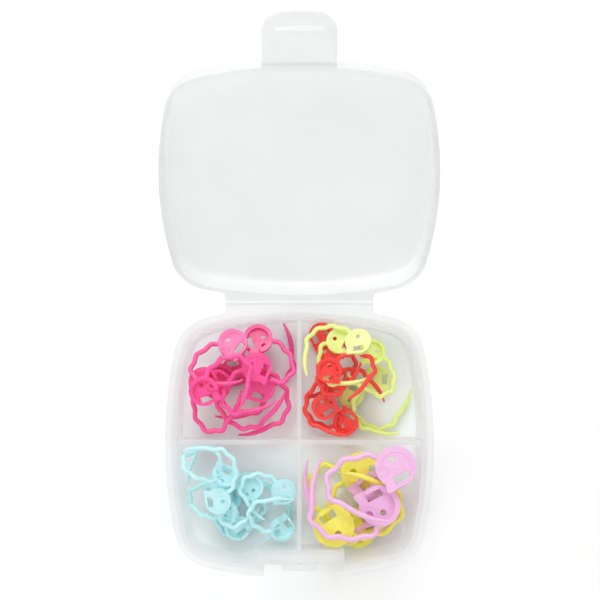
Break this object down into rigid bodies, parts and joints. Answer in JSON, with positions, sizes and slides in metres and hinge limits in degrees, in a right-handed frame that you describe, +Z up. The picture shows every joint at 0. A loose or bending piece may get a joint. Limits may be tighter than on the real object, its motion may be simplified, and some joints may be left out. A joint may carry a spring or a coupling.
{
  "type": "stitch marker",
  "caption": "Boxed set of sheep-shaped locking stitch markers, each with a scalloped bow and a clasp pin, in a compartment case with a hinged lid and latch flap.",
  "frame": {"origin": "centre of the tray's flat underside", "axes": "+Z up, -Y towards the latch, +Y towards the lid's hinge, +X to the right as seen from the latch"},
  "size_m": [0.07, 0.1399, 0.0691],
  "materials": {
    "case": "frosted, translucent natural polypropylene",
    "pink": "moulded pink plastic with a soft gloss",
    "red": "moulded red plastic with a soft gloss",
    "lime": "moulded lime plastic with a soft gloss",
    "aqua": "moulded aqua plastic with a soft gloss",
    "lilac": "moulded lilac plastic with a soft gloss",
    "yellow": "moulded yellow plastic with a soft gloss"
  },
  "bodies": {
    "case_tray": {"case_tray": "case", "lid_hinge_web": "case"},
    "case_lid": {"case_lid": "case", "flap_hinge_web": "case"},
    "latch_flap": {"latch_flap": "case"},
    "pink_marker_9": {"pink_marker_9": "pink"},
    "pink_marker_10": {"pink_marker_10": "pink"},
    "pink_marker_1": {"pink_marker_1": "pink"},
    "pink_marker_2": {"pink_marker_2": "pink"},
    "pink_marker_3": {"pink_marker_3": "pink"},
    "pink_marker_4": {"pink_marker_4": "pink"},
    "pink_marker_5": {"pink_marker_5": "pink"},
    "pink_marker_6": {"pink_marker_6": "pink"},
    "pink_marker_7": {"pink_marker_7": "pink"},
    "pink_marker_8": {"pink_marker_8": "pink", "pink_marker_8_flex": "pink"},
    "pink_marker_8_pin": {"pink_marker_8_pin": "pink"},
    "lime_marker_1": {"lime_marker_1": "lime"},
    "red_marker_1": {"red_marker_1": "red"},
    "lime_marker_2": {"lime_marker_2": "lime"},
    "red_marker_2": {"red_marker_2": "red"},
    "red_marker_3": {"red_marker_3": "red"},
    "red_marker_4": {"red_marker_4": "red"},
    "lime_marker_3": {"lime_marker_3": "lime", "lime_marker_3_flex": "lime"},
    "lime_marker_3_pin": {"lime_marker_3_pin": "lime"},
    "red_marker_5": {"red_marker_5": "red"},
    "lime_marker_4": {"lime_marker_4": "lime"},
    "red_marker_6": {"red_marker_6": "red", "red_marker_6_flex": "red"},
    "red_marker_6_pin": {"red_marker_6_pin": "red"},
    "lime_marker_5": {"lime_marker_5": "lime"},
    "aqua_marker_10": {"aqua_marker_10": "aqua"},
    "aqua_marker_11": {"aqua_marker_11": "aqua"},
    "aqua_marker_1": {"aqua_marker_1": "aqua"},
    "aqua_marker_2": {"aqua_marker_2": "aqua"},
    "aqua_marker_3": {"aqua_marker_3": "aqua"},
    "aqua_marker_4": {"aqua_marker_4": "aqua"},
    "aqua_marker_5": {"aqua_marker_5": "aqua"},
    "aqua_marker_6": {"aqua_marker_6": "aqua"},
    "aqua_marker_7": {"aqua_marker_7": "aqua"},
    "aqua_marker_8": {"aqua_marker_8": "aqua"},
    "aqua_marker_9": {"aqua_marker_9": "aqua", "aqua_marker_9_flex": "aqua"},
    "aqua_marker_9_pin": {"aqua_marker_9_pin": "aqua"},
    "yellow_marker_1": {"yellow_marker_1": "yellow"},
    "yellow_marker_2": {"yellow_marker_2": "yellow"},
    "lilac_marker_1": {"lilac_marker_1": "lilac"},
    "yellow_marker_3": {"yellow_marker_3": "yellow", "yellow_marker_3_flex": "yellow"},
    "yellow_marker_3_pin": {"yellow_marker_3_pin": "yellow"},
    "lilac_marker_2": {"lilac_marker_2": "lilac"},
    "lilac_marker_3": {"lilac_marker_3": "lilac", "lilac_marker_3_flex": "lilac"},
    "lilac_marker_3_pin": {"lilac_marker_3_pin": "lilac"}
  },
  "joints": [
    {"name": "lid_hinge", "type": "hinge", "parent": "case_tray", "child": "case_lid", "pos_m": [0, 0.0365, 0.0146], "axis": [-1, 0, 0], "range_deg": [-141, 39], "deforming": ["lid_hinge_web"]},
    {"name": "flap_hinge", "type": "hinge", "parent": "case_lid", "child": "latch_flap", "pos_m": [0, 0.09324, 0.06013], "axis": [-1, 0, 0], "range_deg": [-90, 30], "deforming": ["flap_hinge_web"]},
    {"name": "pink_marker_9_lift", "type": "slide", "parent": "case_tray", "child": "pink_marker_9", "axis": [0, 0, 1], "range_m": [0, 0.02]},
    {"name": "pink_marker_10_lift", "type": "slide", "parent": "pink_marker_9", "child": "pink_marker_10", "axis": [0, 0, 1], "range_m": [0, 0.02]},
    {"name": "pink_marker_1_lift", "type": "slide", "parent": "pink_marker_10", "child": "pink_marker_1", "axis": [0, 0, 1], "range_m": [0, 0.02]},
    {"name": "pink_marker_2_lift", "type": "slide", "parent": "pink_marker_1", "child": "pink_marker_2", "axis": [0, 0, 1], "range_m": [0, 0.02]},
    {"name": "pink_marker_3_lift", "type": "slide", "parent": "pink_marker_2", "child": "pink_marker_3", "axis": [0, 0, 1], "range_m": [0, 0.02]},
    {"name": "pink_marker_4_lift", "type": "slide", "parent": "pink_marker_3", "child": "pink_marker_4", "axis": [0, 0, 1], "range_m": [0, 0.02]},
    {"name": "pink_marker_5_lift", "type": "slide", "parent": "pink_marker_4", "child": "pink_marker_5", "axis": [0, 0, 1], "range_m": [0, 0.02]},
    {"name": "pink_marker_6_lift", "type": "slide", "parent": "pink_marker_5", "child": "pink_marker_6", "axis": [0, 0, 1], "range_m": [0, 0.02]},
    {"name": "pink_marker_7_lift", "type": "slide", "parent": "pink_marker_6", "child": "pink_marker_7", "axis": [0, 0, 1], "range_m": [0, 0.02]},
    {"name": "pink_marker_8_lift", "type": "slide", "parent": "pink_marker_7", "child": "pink_marker_8", "axis": [0, 0, 1], "range_m": [0, 0.02]},
    {"name": "pink_marker_8_clasp", "type": "hinge", "parent": "pink_marker_8", "child": "pink_marker_8_pin", "pos_m": [-0.01352, 0.02061, 0.01687], "axis": [-0.0273, 0.0358, -0.999], "range_deg": [0, 27], "stiffness_Nm_per_rad": 0.00373, "deforming": ["pink_marker_8_flex"]},
    {"name": "lime_marker_1_lift", "type": "slide", "parent": "case_tray", "child": "lime_marker_1", "axis": [0, 0, 1], "range_m": [0, 0.02]},
    {"name": "red_marker_1_lift", "type": "slide", "parent": "lime_marker_1", "child": "red_marker_1", "axis": [0, 0, 1], "range_m": [0, 0.02]},
    {"name": "lime_marker_2_lift", "type": "slide", "parent": "red_marker_1", "child": "lime_marker_2", "axis": [0, 0, 1], "range_m": [0, 0.02]},
    {"name": "red_marker_2_lift", "type": "slide", "parent": "lime_marker_2", "child": "red_marker_2", "axis": [0, 0, 1], "range_m": [0, 0.02]},
    {"name": "red_marker_3_lift", "type": "slide", "parent": "red_marker_2", "child": "red_marker_3", "axis": [0, 0, 1], "range_m": [0, 0.02]},
    {"name": "red_marker_4_lift", "type": "slide", "parent": "red_marker_3", "child": "red_marker_4", "axis": [0, 0, 1], "range_m": [0, 0.02]},
    {"name": "lime_marker_3_lift", "type": "slide", "parent": "red_marker_4", "child": "lime_marker_3", "axis": [0, 0, 1], "range_m": [0, 0.02]},
    {"name": "lime_marker_3_clasp", "type": "hinge", "parent": "lime_marker_3", "child": "lime_marker_3_pin", "pos_m": [0.02225, 0.01216, 0.01005], "axis": [-0.1801, -0.104, -0.9781], "range_deg": [0, 27], "stiffness_Nm_per_rad": 0.0025, "deforming": ["lime_marker_3_flex"]},
    {"name": "red_marker_5_lift", "type": "slide", "parent": "lime_marker_3", "child": "red_marker_5", "axis": [0, 0, 1], "range_m": [0, 0.02]},
    {"name": "lime_marker_4_lift", "type": "slide", "parent": "red_marker_5", "child": "lime_marker_4", "axis": [0, 0, 1], "range_m": [0, 0.02]},
    {"name": "red_marker_6_lift", "type": "slide", "parent": "lime_marker_4", "child": "red_marker_6", "axis": [0, 0, 1], "range_m": [0, 0.02]},
    {"name": "red_marker_6_clasp", "type": "hinge", "parent": "red_marker_6", "child": "red_marker_6_pin", "pos_m": [0.01938, 0.01969, 0.01564], "axis": [-0.0314, -0.0544, -0.998], "range_deg": [0, 27], "stiffness_Nm_per_rad": 0.0025, "deforming": ["red_marker_6_flex"]},
    {"name": "lime_marker_5_lift", "type": "slide", "parent": "red_marker_6", "child": "lime_marker_5", "axis": [0, 0, 1], "range_m": [0, 0.02]},
    {"name": "aqua_marker_10_lift", "type": "slide", "parent": "case_tray", "child": "aqua_marker_10", "axis": [0, 0, 1], "range_m": [0, 0.02]},
    {"name": "aqua_marker_11_lift", "type": "slide", "parent": "aqua_marker_10", "child": "aqua_marker_11", "axis": [0, 0, 1], "range_m": [0, 0.02]},
    {"name": "aqua_marker_1_lift", "type": "slide", "parent": "aqua_marker_11", "child": "aqua_marker_1", "axis": [0, 0, 1], "range_m": [0, 0.02]},
    {"name": "aqua_marker_2_lift", "type": "slide", "parent": "aqua_marker_1", "child": "aqua_marker_2", "axis": [0, 0, 1], "range_m": [0, 0.02]},
    {"name": "aqua_marker_3_lift", "type": "slide", "parent": "aqua_marker_2", "child": "aqua_marker_3", "axis": [0, 0, 1], "range_m": [0, 0.02]},
    {"name": "aqua_marker_4_lift", "type": "slide", "parent": "aqua_marker_3", "child": "aqua_marker_4", "axis": [0, 0, 1], "range_m": [0, 0.02]},
    {"name": "aqua_marker_5_lift", "type": "slide", "parent": "aqua_marker_4", "child": "aqua_marker_5", "axis": [0, 0, 1], "range_m": [0, 0.02]},
    {"name": "aqua_marker_6_lift", "type": "slide", "parent": "aqua_marker_5", "child": "aqua_marker_6", "axis": [0, 0, 1], "range_m": [0, 0.02]},
    {"name": "aqua_marker_7_lift", "type": "slide", "parent": "aqua_marker_6", "child": "aqua_marker_7", "axis": [0, 0, 1], "range_m": [0, 0.02]},
    {"name": "aqua_marker_8_lift", "type": "slide", "parent": "aqua_marker_7", "child": "aqua_marker_8", "axis": [0, 0, 1], "range_m": [0, 0.02]},
    {"name": "aqua_marker_9_lift", "type": "slide", "parent": "aqua_marker_8", "child": "aqua_marker_9", "axis": [0, 0, 1], "range_m": [0, 0.02]},
    {"name": "aqua_marker_9_clasp", "type": "hinge", "parent": "aqua_marker_9", "child": "aqua_marker_9_pin", "pos_m": [-0.01203, -0.01668, 0.01321], "axis": [-0.2872, 0.3972, -0.8716], "range_deg": [0, 27], "stiffness_Nm_per_rad": 0.0025, "deforming": ["aqua_marker_9_flex"]},
    {"name": "yellow_marker_1_lift", "type": "slide", "parent": "case_tray", "child": "yellow_marker_1", "axis": [0, 0, 1], "range_m": [0, 0.02]},
    {"name": "yellow_marker_2_lift", "type": "slide", "parent": "yellow_marker_1", "child": "yellow_marker_2", "axis": [0, 0, 1], "range_m": [0, 0.02]},
    {"name": "lilac_marker_1_lift", "type": "slide", "parent": "yellow_marker_2", "child": "lilac_marker_1", "axis": [0, 0, 1], "range_m": [0, 0.02]},
    {"name": "yellow_marker_3_lift", "type": "slide", "parent": "lilac_marker_1", "child": "yellow_marker_3", "axis": [0, 0, 1], "range_m": [0, 0.02]},
    {"name": "yellow_marker_3_clasp", "type": "hinge", "parent": "yellow_marker_3", "child": "yellow_marker_3_pin", "pos_m": [0.02635, -0.01547, 0.01078], "axis": [-0.007, -0.0121, 0.9999], "range_deg": [0, 27], "stiffness_Nm_per_rad": 0.01, "deforming": ["yellow_marker_3_flex"]},
    {"name": "lilac_marker_2_lift", "type": "slide", "parent": "yellow_marker_3", "child": "lilac_marker_2", "axis": [0, 0, 1], "range_m": [0, 0.02]},
    {"name": "lilac_marker_3_lift", "type": "slide", "parent": "lilac_marker_2", "child": "lilac_marker_3", "axis": [0, 0, 1], "range_m": [0, 0.02]},
    {"name": "lilac_marker_3_clasp", "type": "hinge", "parent": "lilac_marker_3", "child": "lilac_marker_3_pin", "pos_m": [0.00765, -0.01274, 0.0149], "axis": [-0.0388, 0.1827, 0.9824], "range_deg": [0, 27], "stiffness_Nm_per_rad": 0.01, "deforming": ["lilac_marker_3_flex"]}
  ]
}
